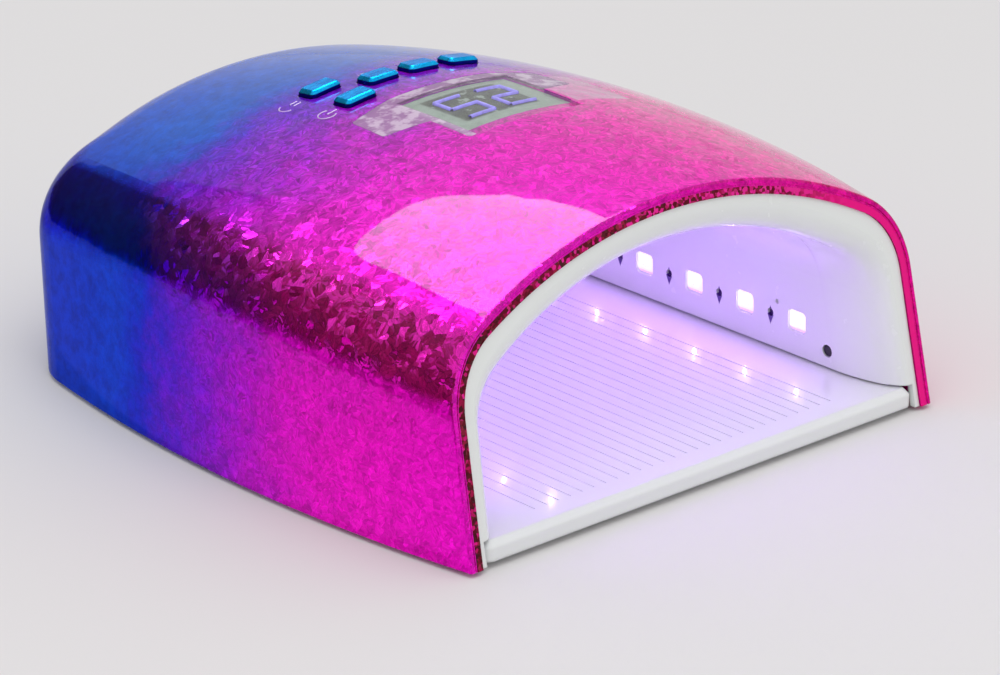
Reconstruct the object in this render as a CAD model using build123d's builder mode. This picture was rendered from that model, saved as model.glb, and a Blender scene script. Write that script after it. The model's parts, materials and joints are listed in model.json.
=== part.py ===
from build123d import *
import math
import os

os.makedirs("parts", exist_ok=True)

# A cordless gel nail lamp: a domed casing over an open-fronted hand cavity with a pull-out tray.
# All sizes are in millimetres and degrees. X is to the right, Y to the back, Z up.
# The origin is on the table, in the middle of the lamp's width and depth.

# Casing, outside
front_width = 200.0
widest_width = 220.4
widest_back = 108.0
body_depth = 247.0
knee_height = 62.0
side_lean = 4.0
rear_lean = 14.2
front_rake = 12.0
rear_bulge = 2.5
low_corner_radius = 29.0
high_corner_radius = 40.0
crown_height = 100.0
crown_back = 110.0
crown_radius_along = 498.0
crown_radius_across = 187.0
shoulder_radius = 31.0
foot_height = 1.2
plan_lead = 10.0
loft_spare = 16.0
crown_spread = 40.0

# Casing, walls and front rim
shell_wall = 2.6
rim_width = 4.6
rim_depth = 5.0
rim_round = 0.9
groove_in = 1.5
groove_width = 0.45
groove_depth = 0.35
trim_in = 2.2
trim_thickness = 0.3
trim_depth = 0.4

# Liner with the hand cavity
liner_wall = 2.2
flange_recess = 0.8
flange_thickness = 2.2
mouth_width = 186.4
mouth_crown = 86.0
mouth_lean = 3.6
mouth_side_depth = 26.0
mouth_crown_depth = 10.0
mouth_steps = 5
mouth_lead = 4.0
cavity_width = 167.0
cavity_crown = 75.0
cavity_lean = 2.0
battery_room = 52.0
arch_crown_radius = 140.0
arch_shoulder_radius = 22.0

# Tray
tray_width = 175.2
tray_front = 1.4
tray_bottom = 0.7
tray_top = 7.0
tray_plate = 2.6
tray_bar_width = 185.4
tray_bar_depth = 7.0
tray_corner = 3.2
tray_bevel = 2.2
skirt_width = 2.0
skirt_lift = 2.3
groove_pitch = 4.95
groove_count = 27
groove_front = 11.5
tray_groove_width = 0.6
tray_groove_depth = 0.5
groove_end_margin = 10.0
tray_rib_width = 1.6
tray_rib_count = 3

# Rails and bottom frame
rail_web = 1.6
rail_lip = 2.5
rail_lip_thickness = 1.8
rail_front = 14.0
frame_lift = 0.2
frame_thickness = 2.2
frame_front = 13.0
crossbar_depth = 5.0
vent_count = 7
vent_length = 16.0
vent_width = 2.0
vent_pitch = 6.0

# Light strips
led_height = 19.7
led_first = 45.4
led_rear_margin = 28.1
led_count = 6
roof_strip_x = 40.0
rear_led_x = 40.0
rear_led_height = 32.0
window_length = 8.2
window_height = 7.7
window_corner = 1.6
led_gap = 0.35
led_recess = 0.8
led_board_width = 13.0
led_board_thickness = 1.2
led_board_margin = 11.0
spreader_thickness = 1.5
spreader_width = 16.0
screw_window_radius = 1.35
strip_screw_head_radius = 1.2
strip_screw_head_height = 0.8
strip_screw_shank_radius = 0.75
strip_screw_recess = 1.0

# Hand sensor
sensor_back = 31.4
sensor_height = 13.4
sensor_radius = 2.1
sensor_length = 5.0
sensor_flange_radius = 3.0
sensor_flange_thickness = 1.2
sensor_round = 0.6
spot_back = 54.4
spot_height = 24.4
spot_radius = 0.9
spot_depth = 1.0

# Display
display_x = 1.5
display_back = 109.0
display_width = 46.0
display_depth = 33.0
lens_thickness = 1.0
lens_half_width = 24.0
lens_front = 87.0
lens_rear = 131.0
wing_half_width = 40.0
wing_front = 110.0
wing_rear = 127.0
wing_taper = 1.0
lens_step = 4.0
lens_corner = 1.5
mask_gap = 0.15
panel_border = 1.5
panel_thickness = 2.4
holder_wall = 1.6
holder_inset = 1.0

# Buttons
button_width = 12.5
button_depth = 8.5
button_corner = 1.8
button_rise = 2.4
button_bevel = 1.1
button_flange = 1.2
button_flange_thickness = 1.6
button_travel = 0.8
stem_radius = 2.0
left_column_x = -26.0
row_pitch_x = 17.3
row_back = 150.0
left_front_back = 141.0
left_rear_back = 159.0

# Control board and its switches
control_board_height = 82.0
board_thickness = 1.6
control_board_half_width = 45.0
control_board_front = 88.0
control_board_rear = 168.0
switch_side = 6.0
switch_height = 3.4
switch_bore_spare = 0.6
plunger_radius = 1.6
plunger_stand = 1.6
plunger_seat = 1.2
post_radius = 2.6
post_inset = 4.0
board_screw_shank_radius = 0.9
board_screw_head_radius = 1.8
board_screw_head_height = 1.4
board_screw_length = 6.0
chip_height = 2.2
# each chip on the control board: x, distance behind the button row, width, depth
chip_places = ((16.0, 12.0, 9.0, 7.0), (-34.0, -22.0, 4.0, 10.0), (36.0, -14.0, 8.0, 8.0))

# Battery
cell_diameter = 18.3
cell_length = 65.0
cell_gap = 0.5
cradle_wall = 1.6
cradle_floor_height = 20.0
cradle_height = 26.0
cradle_leg = 6.0
strap_width = 12.0
strap_thickness = 0.8
link_thickness = 0.3
link_width = 8.0
strap_overlap = 6.0

# Power board and the charging inlet
power_board_height = 5.4
power_board_width = 100.0
power_board_depth = 24.0
standoff_radius = 2.4
standoff_inset = 3.5
board_gap = 3.0
jack_width = 9.0
jack_height = 11.0
jack_length = 13.0
jack_axis_height = 6.5
jack_bore_radius = 3.0
jack_bore_depth = 9.5
jack_pin_radius = 1.0
jack_pin_seat = 1.0
jack_pin_round = 0.5
nose_radius = 3.9
nose_recess = 0.5
component_height = 9.0
# each component on the power board: x, distance behind the board's middle, and its radius
can_places = ((-26.0, 0.0, 5.0), (-38.0, -4.0, 3.2), (-38.0, 4.0, 3.2))
# the same, but with width and depth
block_places = ((18.0, -2.0, 8.0, 8.0), (38.0, 0.0, 8.0, 14.0))

# Fasteners, feet and magnets
boss_radius = 3.6
boss_height = 16.0
boss_sink = 0.8
pilot_spare = 1.0
casing_screw_radius = 1.3
casing_screw_length = 12.0
casing_screw_head_radius = 2.6
casing_screw_head_height = 1.2
casing_screw_front = 42.0
casing_screw_rear_margin = 69.0
rear_screw_x = 55.0
rear_rib_length = 9.0
rear_rib_width = 1.6
lug_x = 72.0
lug_height = 7.0
lug_roof = 1.0
lug_overlap = 0.25
foot_radius = 4.0
foot_seat = 0.9
foot_margin = 1.0
foot_round = 0.5
front_foot_back = 24.0
rear_foot_margin = 35.0
rear_foot_x = 74.0
magnet_x = 50.0
magnet_radius = 2.5
magnet_length = 3.0
magnet_height = 4.1
magnet_wall = 3.0
recess_width = 0.4
recess_share = 1.2
cable_width = 12.0
cable_thickness = 0.8
cable_x = 14.0
cable_bend = 6.0
cable_gap = 2.0
cable_turn_back = 192.0
cable_turn_height = 58.0
lead_x = 71.0
lead_height = 40.0
lead_radius = 0.7
lead_spacing = 2.4
lead_bend = 5.0

# Clearances
rim_gap = 0.2
tray_gap = 0.4
slide_gap = 0.3
button_gap = 0.25
seat_gap = 0.1
hole_gap = 0.05
cut_lead = 1.0

# Worked out from the sizes above
base_z = foot_height
front_y = -body_depth / 2
loft_top = crown_height + loft_spare
below = -3.0
bow = (widest_width - front_width) / 2
side_radius = (widest_back**2 + bow**2) / (2 * bow)
rear_back = body_depth - knee_height * math.tan(math.radians(rear_lean))
cavity_back = body_depth - battery_room
led_pitch = (cavity_back - led_rear_margin - led_first) / (led_count - 1)
casing_screw_rear = body_depth - casing_screw_rear_margin
casing_screw_middle = (casing_screw_front + casing_screw_rear) / 2
rear_foot_back = body_depth - rear_foot_margin
rake = math.radians(front_rake)
cavity_half = cavity_width / 2
tray_half = tray_width / 2
channel_half = tray_half + tray_gap
rail_outer_half = channel_half + rail_web
wall_slope = math.tan(math.radians(cavity_lean)) / math.cos(rake)
pocket_top = tray_top + tray_gap + slide_gap
tray_rear = cavity_back - tray_gap
bar_rear = tray_front + tray_bar_depth
board_out = liner_wall + rim_gap
strip_screw_reach = board_out + led_board_thickness + spreader_thickness
liner_rear = cavity_back + liner_wall
frame_top = frame_lift + frame_thickness
board_top = control_board_height + board_thickness
switch_top = board_top + switch_height
switch_bore_depth = plunger_seat + button_travel + switch_bore_spare
power_board_top = power_board_height + board_thickness
rear_slope = math.tan(math.radians(rear_lean))
jack_z = power_board_top + jack_axis_height
jack_rear = rear_back + power_board_top * rear_slope - shell_wall - slide_gap
nose_length = rear_back + jack_z * rear_slope - nose_recess - jack_rear
board_middle_back = liner_rear + board_gap + power_board_depth / 2


def back(distance):
    """The Y of a place this far behind the casing's front bottom edge."""
    return front_y + distance


def up(height):
    """The Z of a place this far above the casing's bottom edge."""
    return base_z + height


def front_plane(depth):
    """The raked plane of the front opening, moved back by depth and facing forwards."""
    return Plane(
        origin=(0, back(depth), base_z),
        x_dir=(1, 0, 0),
        z_dir=(0, -math.cos(rake), math.sin(rake)),
    )


def level_plane(height):
    return Plane.XY.offset(up(height))


def upright_plane(distance):
    """A plane across the lamp, facing the back, with X to the right and Y up in it."""
    return Plane(origin=(0, back(distance), 0), x_dir=(-1, 0, 0), z_dir=(0, 1, 0))


def half_width(distance, shrink=0.0):
    """Half the casing's width at its bottom edge, this far behind the front."""
    reach = distance - widest_back
    return widest_width / 2 - side_radius + math.sqrt((side_radius - shrink) ** 2 - reach**2)


def crown_at(x, distance, inset=0.0):
    """The height of the casing's crown surface above its bottom edge, at a place seen from above."""
    across = crown_radius_across - inset
    spin = crown_radius_along - crown_radius_across + math.sqrt(across**2 - x**2)
    reach = distance - crown_back
    return crown_height - crown_radius_along + math.sqrt(spin**2 - reach**2)


def plan_outline(level, inset):
    """The casing's outline at a level above its bottom edge, drawn inset all round."""
    shrink = inset + level * math.tan(math.radians(side_lean))
    rear = rear_back + level * math.tan(math.radians(rear_lean)) - inset
    opening = (high_corner_radius - low_corner_radius) * level / loft_top
    front_half = half_width(-plan_lead, shrink)
    rear_side = rear - rear_bulge
    rear_half = half_width(rear_side, shrink)
    middle_half = widest_width / 2 - shrink
    with BuildSketch(level_plane(level)) as outline:
        with BuildLine():
            Line((-front_half, back(-plan_lead)), (front_half, back(-plan_lead)))
            ThreePointArc(
                (front_half, back(-plan_lead)),
                (middle_half, back(widest_back)),
                (rear_half, back(rear_side)),
            )
            ThreePointArc(
                (rear_half, back(rear_side)),
                (0, back(rear)),
                (-rear_half, back(rear_side)),
            )
            ThreePointArc(
                (-rear_half, back(rear_side)),
                (-middle_half, back(widest_back)),
                (-front_half, back(-plan_lead)),
            )
        make_face()
        rear_corners = outline.vertices().sort_by(Axis.Y)[-2:]
        fillet(rear_corners, low_corner_radius + opening - inset)
    return outline.sketch


def body_form(inset, floor=0.0):
    """The casing's whole form, made smaller all round by inset: leaning walls under a domed crown.

    The dome is a curve across the lamp, very nearly an arc, turned about a level axis far below.
    """
    axis_place = (0, back(crown_back), up(crown_height - crown_radius_along))
    turn = math.radians(crown_spread)
    turn_start = Plane(
        origin=axis_place, x_dir=(1, 0, 0), z_dir=(0, -math.cos(turn), -math.sin(turn))
    )
    across = crown_radius_across - inset
    middle = crown_radius_along - crown_radius_across
    reach = widest_width / 2 + plan_lead
    half_turn = math.asin(reach / across)
    edge = middle + across * math.cos(half_turn)
    handle = across * math.tan(half_turn / 2) * 4 / 3
    handle_x = reach - handle * math.cos(half_turn)
    handle_y = edge + handle * math.sin(half_turn)
    low = crown_radius_along - loft_top
    with BuildPart() as form:
        loft(sections=[plan_outline(floor, inset), plan_outline(loft_top, inset)], ruled=True)
        with BuildSketch(turn_start):
            with BuildLine():
                Bezier((-reach, edge), (-handle_x, handle_y), (handle_x, handle_y), (reach, edge))
                Polyline((reach, edge), (reach, low), (-reach, low), (-reach, edge))
            make_face()
        revolve(
            axis=Axis(axis_place, (-1, 0, 0)),
            revolution_arc=2 * crown_spread,
            mode=Mode.INTERSECT,
        )
        crown = form.faces().sort_by(Axis.Z)[-1]
        fillet(crown.edges().sort_by(Axis.Y)[1:], shoulder_radius - inset)
        split(bisect_by=front_plane(0), keep=Keep.BOTTOM)
    return form.part


def slab(form, front_depth, rear_depth):
    """The slice of a form between two planes parallel to the front opening."""
    with BuildPart() as slice_:
        add(form)
        split(bisect_by=front_plane(front_depth), keep=Keep.BOTTOM)
        split(bisect_by=front_plane(rear_depth), keep=Keep.TOP)
    return slice_.part


def arch(plane, half, crown, lean, grow, floor):
    """An arch with leaning sides, round shoulders and a bowed crown, made larger by grow."""
    width = half + grow
    tilt = math.tan(math.radians(lean)) * math.cos(rake)
    top = crown / math.cos(rake) + grow
    radius = arch_crown_radius + grow
    centre = top - radius
    first = width * tilt + centre
    spread = 1 + tilt**2
    knee = (first + math.sqrt(first**2 - spread * (width**2 + centre**2 - radius**2))) / spread
    knee_half = width - knee * tilt
    base_half = width - floor * tilt
    with BuildSketch(plane) as outline:
        with BuildLine():
            Polyline(
                (-knee_half, knee),
                (-base_half, floor),
                (base_half, floor),
                (knee_half, knee),
            )
            ThreePointArc((knee_half, knee), (0, top), (-knee_half, knee))
        make_face()
        fillet(outline.vertices().sort_by(Axis.Y)[-2:], arch_shoulder_radius + grow)
    return outline.sketch


def cavity_form(grow, rear, floor=0.0, lead=0.0):
    """The hand cavity, made larger all round by grow: a bell mouth, then a straight tunnel.

    The mouth narrows slowly at its sides and quickly at its crown. lead carries it on in front
    of the flange, for cutting.
    """
    sections = []
    for step in range(mouth_steps + 1):
        turn = math.radians(90 * step / mouth_steps)
        depth = mouth_side_depth * (1 - math.cos(turn))
        share = 1 - math.sin(turn)
        crown_left = 1 - min(depth / mouth_crown_depth, 1)
        crown_share = 1 - math.sqrt(1 - crown_left**2)
        sections.append(
            arch(
                front_plane(flange_recess + depth),
                cavity_half + (mouth_width / 2 - cavity_half) * share,
                cavity_crown + (mouth_crown - cavity_crown) * crown_share,
                cavity_lean + (mouth_lean - cavity_lean) * share,
                grow,
                floor,
            )
        )
    with BuildPart() as form:
        loft(sections=sections)
        extrude(sections[-1], amount=body_depth, dir=(0, 1, 0))
        if lead:
            extrude(sections[0], amount=lead, dir=(0, -1, 0))
        split(bisect_by=upright_plane(rear), keep=Keep.BOTTOM)
    return form.part


def side_place(side, height, distance):
    """A plane on a side wall of the cavity, facing outwards, with X to the back."""
    tilt = math.atan(wall_slope)
    x = cavity_half - height * wall_slope
    return Plane(
        origin=(side * x, back(distance), up(height)),
        x_dir=(0, 1, 0),
        z_dir=(side * math.cos(tilt), 0, math.sin(tilt)),
    )


def roof_place(x, distance):
    """A plane on the cavity's ceiling, facing upwards and outwards, with X to the back."""
    centre = cavity_crown / math.cos(rake) - arch_crown_radius
    rise = math.sqrt(arch_crown_radius**2 - x**2)
    slope = x / rise * math.cos(rake)
    return Plane(
        origin=(x, back(distance), up((centre + rise) * math.cos(rake))),
        x_dir=(0, 1, 0),
        z_dir=(slope, 0, 1),
    )


def rear_place(x, height):
    """A plane on the cavity's rear wall, facing the back."""
    return Plane(origin=(x, back(cavity_back), up(height)), x_dir=(-1, 0, 0), z_dir=(0, 1, 0))


led_backs = [led_first + led_pitch * n for n in range(led_count)]
strip_middle = (led_backs[0] + led_backs[-1]) / 2
strip_length = led_backs[-1] - led_backs[0] + 2 * led_board_margin
screw_backs = [(a + b) / 2 for a, b in zip(led_backs, led_backs[1:])]
roof_xs = [-roof_strip_x, 0.0, roof_strip_x]
rear_xs = [-rear_led_x, 0.0, rear_led_x]
rear_strip_length = 2 * rear_led_x + 2 * led_board_margin

# Each strip: the planes of its light windows, of its screws, and of its board's middle
strips = {
    "right": (
        [side_place(1, led_height, d) for d in led_backs],
        [side_place(1, led_height, d) for d in screw_backs],
        [(side_place(1, led_height, strip_middle), strip_length)],
    ),
    "left": (
        [side_place(-1, led_height, d) for d in led_backs],
        [side_place(-1, led_height, d) for d in screw_backs],
        [(side_place(-1, led_height, strip_middle), strip_length)],
    ),
    "roof": (
        [roof_place(x, d) for x in roof_xs for d in led_backs],
        [roof_place(x, d) for x in roof_xs for d in (screw_backs[0], screw_backs[-1])],
        [(roof_place(x, strip_middle), strip_length) for x in roof_xs],
    ),
    "rear": (
        [rear_place(x, rear_led_height) for x in rear_xs],
        [rear_place(x, rear_led_height) for x in (-rear_led_x / 2, rear_led_x / 2)],
        [(rear_place(0, rear_led_height), rear_strip_length)],
    ),
}

# Buttons: the name and the place of each, seen from above
buttons = {
    "power": (left_column_x, left_front_back),
    "low_heat": (left_column_x, left_rear_back),
    "timer_short": (left_column_x + row_pitch_x, row_back),
    "timer_middle": (left_column_x + 2 * row_pitch_x, row_back),
    "timer_long": (left_column_x + 3 * row_pitch_x, row_back),
}

# Casing screws: along both sides, and two at the back
boss_reach = shell_wall + boss_radius - boss_sink
screw_places = []
for distance in (casing_screw_front, casing_screw_middle, casing_screw_rear):
    for side in (-1, 1):
        screw_places.append((side * (half_width(distance) - boss_reach), back(distance)))
for side in (-1, 1):
    screw_places.append((side * rear_screw_x, back(rear_back - rear_bulge / 2 - boss_reach)))

post_places = [
    (side * (control_board_half_width - post_inset), back(distance))
    for side in (-1, 1)
    for distance in (control_board_front + post_inset, control_board_rear - post_inset)
]

outer_skin = body_form(0)
button_skin = body_form(-button_rise)
inner_void = body_form(shell_wall, below)
flange_skin = body_form(shell_wall + slide_gap + seat_gap, below)


def lens_outline(grow):
    """The display window's outline with its two side wings."""
    half = lens_half_width + grow
    wing = wing_half_width + grow
    with BuildSketch(Plane.XY) as outline:
        with Locations((display_x, 0)):
            with BuildLine():
                Polyline(
                    (-half, back(lens_front - grow)),
                    (half, back(lens_front - grow)),
                    (half, back(wing_front - lens_step - grow)),
                    (wing, back(wing_front - grow)),
                    (wing - wing_taper, back(wing_rear + grow)),
                    (half - lens_step, back(lens_rear + grow)),
                    (lens_step - half, back(lens_rear + grow)),
                    (wing_taper - wing, back(wing_rear + grow)),
                    (-wing, back(wing_front - grow)),
                    (-half, back(wing_front - lens_step - grow)),
                    close=True,
                )
            make_face()
        fillet(outline.vertices(), lens_corner)
    return outline.sketch


with BuildPart() as display_lens:
    with BuildSketch(level_plane(crown_height / 2)):
        add(lens_outline(0))
    extrude(amount=crown_height)
    add(outer_skin, mode=Mode.INTERSECT)
    add(body_form(lens_thickness), mode=Mode.SUBTRACT)
display_lens.part.label = "display_lens"
export_step(display_lens.part, "parts/display_lens.step")
lens_seat = body_form(lens_thickness + hole_gap)

with BuildPart() as seat_cut:
    with BuildSketch(level_plane(crown_height / 2)):
        add(lens_outline(seat_gap))
    extrude(amount=crown_height)
    add(lens_seat, mode=Mode.SUBTRACT)

# Screw bosses and the control board's posts, which stand inside the casing, with pilot holes
with BuildPart() as shell_posts:
    with BuildSketch(level_plane(frame_top + seat_gap)):
        with Locations(*screw_places):
            Circle(boss_radius)
        for x, y in screw_places[-2:]:
            with Locations((x, y + rear_rib_length / 2)):
                Rectangle(rear_rib_width, rear_rib_length)
    extrude(amount=boss_height)
    with BuildSketch(level_plane(board_top)):
        with Locations(*post_places):
            Circle(post_radius)
    extrude(amount=crown_height - board_top)
    add(body_form(shell_wall / 2, below), mode=Mode.INTERSECT)
    with BuildSketch(level_plane(0)):
        with Locations(*screw_places):
            Circle(casing_screw_radius + hole_gap)
    extrude(amount=casing_screw_length + pilot_spare, mode=Mode.SUBTRACT)
    with BuildSketch(level_plane(control_board_height)):
        with Locations(*post_places):
            Circle(board_screw_shank_radius + hole_gap)
    extrude(amount=board_screw_length + pilot_spare, mode=Mode.SUBTRACT)

# A thin line let into the front rim, all the way round the arch
with BuildPart() as rim_line:
    add(slab(body_form(groove_in, below), -cut_lead, groove_depth))
    add(body_form(groove_in + groove_width, below), mode=Mode.SUBTRACT)

# A crackled strip on a shallow step in the front rim, between that line and the liner
trim_back = trim_depth - hole_gap
with BuildPart() as rim_trim:
    add(slab(body_form(trim_in + hole_gap), trim_back - trim_thickness, trim_back))
    add(body_form(rim_width, below), mode=Mode.SUBTRACT)
rim_trim.part.label = "rim_trim"
export_step(rim_trim.part, "parts/rim_trim.step")

with BuildPart() as shell_walls:
    add(outer_skin)
    front_face = shell_walls.faces().sort_by(Axis.Y)[0]
    fillet(front_face.edges().sort_by(Axis.Z)[1:], rim_round)
    add(slab(inner_void, rim_depth, body_depth * 2), mode=Mode.SUBTRACT)
    add(slab(body_form(rim_width, below), -cut_lead, rim_depth + cut_lead), mode=Mode.SUBTRACT)
    add(rim_line.part, mode=Mode.SUBTRACT)
    add(slab(body_form(trim_in, below), -cut_lead, trim_depth), mode=Mode.SUBTRACT)
    # display recess and window
    add(seat_cut.part, mode=Mode.SUBTRACT)
    with BuildSketch(level_plane(crown_height / 2)):
        with Locations((display_x, back(display_back))):
            Rectangle(display_width, display_depth)
    extrude(amount=crown_height, mode=Mode.SUBTRACT)
    # button holes
    with BuildSketch(level_plane(switch_top)):
        for x, distance in buttons.values():
            with Locations((x, back(distance))):
                RectangleRounded(
                    button_width + 2 * button_gap,
                    button_depth + 2 * button_gap,
                    button_corner + button_gap,
                )
    extrude(amount=crown_height, mode=Mode.SUBTRACT)
    # hole for the charging inlet
    with BuildSketch(upright_plane(jack_rear - slide_gap)):
        with Locations((0, up(jack_z))):
            Circle(nose_radius + seat_gap * 2)
    extrude(amount=2 * nose_length + shell_wall, mode=Mode.SUBTRACT)

with BuildPart() as outer_shell:
    add(shell_walls.part)
    add(shell_posts.part)
outer_shell.part.label = "outer_shell"
export_step(outer_shell.part, "parts/outer_shell.step")


# The white liner: a flange that closes the front, a bell mouth and the cavity's walls
with BuildPart() as front_flange:
    add(slab(body_form(rim_width + rim_gap), flange_recess, flange_recess + flange_thickness))

window_places = [place for windows, _, _ in strips.values() for place in windows]
screw_windows = [place for _, screws, _ in strips.values() for place in screws]

with BuildPart() as inner_liner:
    add(cavity_form(liner_wall, liner_rear))
    split(bisect_by=front_plane(flange_recess + flange_thickness / 2), keep=Keep.BOTTOM)
    add(front_flange.part)
    add(cavity_form(0, cavity_back, below, mouth_lead), mode=Mode.SUBTRACT)
    # room at the bottom for the tray, right through to the back
    with BuildSketch(level_plane(below)):
        with Locations((0, back(cavity_back / 2))):
            Rectangle(2 * (channel_half + seat_gap), 2 * cavity_back)
        with Locations((0, back(bar_rear / 2))):
            Rectangle(tray_bar_width + 2 * tray_gap, bar_rear + 2 * tray_gap)
    extrude(amount=pocket_top - below, mode=Mode.SUBTRACT)
    # lugs on the rear wall for two screws
    with BuildSketch(level_plane(pocket_top)):
        for side in (-1, 1):
            with Locations((side * lug_x, back(liner_rear + crossbar_depth / 2))):
                Rectangle(2 * boss_radius, crossbar_depth + 2 * lug_overlap)
    extrude(amount=lug_height)
    with BuildSketch(level_plane(pocket_top)):
        for side in (-1, 1):
            with Locations((side * lug_x, back(liner_rear + crossbar_depth / 2))):
                Circle(casing_screw_radius + hole_gap)
    extrude(amount=lug_height - lug_roof, mode=Mode.SUBTRACT)
    # light windows and the small screw windows between them
    for place in window_places:
        with BuildSketch(place.offset(-cut_lead)):
            RectangleRounded(window_length, window_height, window_corner)
        extrude(amount=liner_wall + 2 * cut_lead, mode=Mode.SUBTRACT)
    for place in screw_windows:
        with BuildSketch(place.offset(-cut_lead)):
            Circle(screw_window_radius)
        extrude(amount=liner_wall + 2 * cut_lead, mode=Mode.SUBTRACT)
    # round windows of the hand sensor, and one small spot in the right wall
    for side in (-1, 1):
        with BuildSketch(side_place(side, sensor_height, sensor_back).offset(-cut_lead)):
            Circle(sensor_radius + seat_gap)
        extrude(amount=liner_wall + 2 * cut_lead, mode=Mode.SUBTRACT)
    with BuildSketch(side_place(1, spot_height, spot_back).offset(-cut_lead)):
        Circle(spot_radius)
    extrude(amount=spot_depth + cut_lead, mode=Mode.SUBTRACT)
inner_liner.part.label = "inner_liner"
export_step(inner_liner.part, "parts/inner_liner.step")

# Light boards, their lights, their heat spreaders and their screws
for name, (windows, screws, boards) in strips.items():
    with BuildPart() as led_board:
        for middle, length in boards:
            with BuildSketch(middle.offset(board_out)):
                Rectangle(length, led_board_width)
            extrude(amount=led_board_thickness)
        for place in screws:
            with BuildSketch(place.offset(board_out)):
                Circle(strip_screw_shank_radius + seat_gap)
            extrude(amount=led_board_thickness, mode=Mode.SUBTRACT)
    led_board.part.label = f"led_board_{name}"
    export_step(led_board.part, f"parts/led_board_{name}.step")

    with BuildPart() as leds:
        for place in windows:
            with BuildSketch(place.offset(led_recess)):
                RectangleRounded(
                    window_length - 2 * led_gap,
                    window_height - 2 * led_gap,
                    window_corner - led_gap,
                )
            extrude(amount=board_out - led_recess)
    leds.part.label = f"leds_{name}"
    export_step(leds.part, f"parts/leds_{name}.step")

    with BuildPart() as heat_spreader:
        for middle, length in boards:
            with BuildSketch(middle.offset(board_out + led_board_thickness + hole_gap)):
                Rectangle(length, spreader_width)
            extrude(amount=spreader_thickness)
        for place in screws:
            with BuildSketch(place.offset(board_out + led_board_thickness)):
                Circle(strip_screw_shank_radius + hole_gap)
            extrude(amount=spreader_thickness + cut_lead, mode=Mode.SUBTRACT)
    heat_spreader.part.label = f"heat_spreader_{name}"
    export_step(heat_spreader.part, f"parts/heat_spreader_{name}.step")

with BuildPart() as strip_screws:
    for place in screw_windows:
        with BuildSketch(place.offset(strip_screw_recess)):
            Circle(strip_screw_head_radius)
        extrude(amount=strip_screw_head_height)
        with BuildSketch(place.offset(strip_screw_recess + strip_screw_head_height)):
            Circle(strip_screw_shank_radius)
        extrude(amount=strip_screw_reach - strip_screw_recess - strip_screw_head_height)
strip_screws.part.label = "strip_screws"
export_step(strip_screws.part, "parts/strip_screws.step")

# The two halves of the hand sensor, in the side walls just inside the mouth
for name, side in (("hand_sensor_emitter", -1), ("hand_sensor_receiver", 1)):
    sensor_place = side_place(side, sensor_height, sensor_back)
    with BuildPart() as hand_sensor:
        with BuildSketch(sensor_place.offset(slide_gap)):
            Circle(sensor_radius)
        extrude(amount=sensor_length)
        fillet(hand_sensor.edges().sort_by(Axis.X)[0 if side > 0 else -1], sensor_round)
        with BuildSketch(sensor_place.offset(liner_wall + seat_gap)):
            Circle(sensor_flange_radius)
        extrude(amount=sensor_flange_thickness)
    hand_sensor.part.label = name
    export_step(hand_sensor.part, f"parts/{name}.step")

# The pull-out tray: a thin plate with skirts, a deep front edge and fine grooves
groove_length = tray_rear - groove_end_margin - groove_front
with BuildPart() as base_tray:
    with BuildSketch(level_plane(tray_bottom)) as tray_plan:
        with Locations((0, back((tray_front + tray_rear) / 2))):
            Rectangle(tray_width, tray_rear - tray_front)
        with Locations((0, back(bar_rear - tray_bar_depth / 2))):
            Rectangle(tray_bar_width, tray_bar_depth)
        fillet(tray_plan.vertices().sort_by(Axis.Y)[:2], tray_corner)
    extrude(amount=tray_top - tray_bottom)
    top_edges = base_tray.faces().sort_by(Axis.Z)[-1].edges().sort_by(Axis.Y)
    chamfer(top_edges[:5], tray_bevel)
    # behind the front edge the skirts are shorter, to run on the rails
    with BuildSketch(level_plane(tray_bottom - cut_lead)):
        for side in (-1, 1):
            with Locations((side * tray_half, back(bar_rear + cut_lead + cavity_back / 2))):
                Rectangle(2 * (rail_lip + slide_gap + tray_gap), cavity_back)
    extrude(amount=skirt_lift - tray_bottom + cut_lead, mode=Mode.SUBTRACT)
    # hollow underneath, with ribs left standing from front to back
    bay_rear = tray_rear - magnet_length - magnet_wall
    bay_half = tray_half - skirt_width
    bay_count = tray_rib_count + 1
    bay_width = (2 * bay_half - tray_rib_count * tray_rib_width) / bay_count
    with BuildSketch(level_plane(tray_bottom - cut_lead)):
        with Locations((0, back((bar_rear + bay_rear) / 2))):
            with GridLocations(bay_width + tray_rib_width, 1, bay_count, 1):
                Rectangle(bay_width, bay_rear - bar_rear)
    extrude(amount=tray_top - tray_plate - tray_bottom + cut_lead, mode=Mode.SUBTRACT)
    # fine grooves in the top
    with BuildSketch(level_plane(tray_top - tray_groove_depth)):
        with Locations((0, back(groove_front + groove_length / 2))):
            with GridLocations(groove_pitch, 1, groove_count, 1):
                SlotOverall(groove_length, tray_groove_width, rotation=90)
    extrude(amount=tray_groove_depth + cut_lead, mode=Mode.SUBTRACT)
    # pockets for the magnets in the rear edge
    with BuildSketch(upright_plane(tray_rear - magnet_length)):
        with Locations((-magnet_x, up(magnet_height)), (magnet_x, up(magnet_height))):
            Circle(magnet_radius + hole_gap)
    extrude(amount=magnet_length + cut_lead, mode=Mode.SUBTRACT)
base_tray.part.label = "base_tray"
export_step(base_tray.part, "parts/base_tray.step")


def magnet_pair(front):
    """Two round magnets side by side, from this distance behind the front edge."""
    with BuildPart() as pair:
        with BuildSketch(upright_plane(front)):
            with Locations((-magnet_x, up(magnet_height)), (magnet_x, up(magnet_height))):
                Circle(magnet_radius)
        extrude(amount=magnet_length - seat_gap)
    return pair.part


tray_magnets = magnet_pair(tray_rear - magnet_length)
tray_magnets.label = "tray_magnets"
export_step(tray_magnets, "parts/tray_magnets.step")

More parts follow.
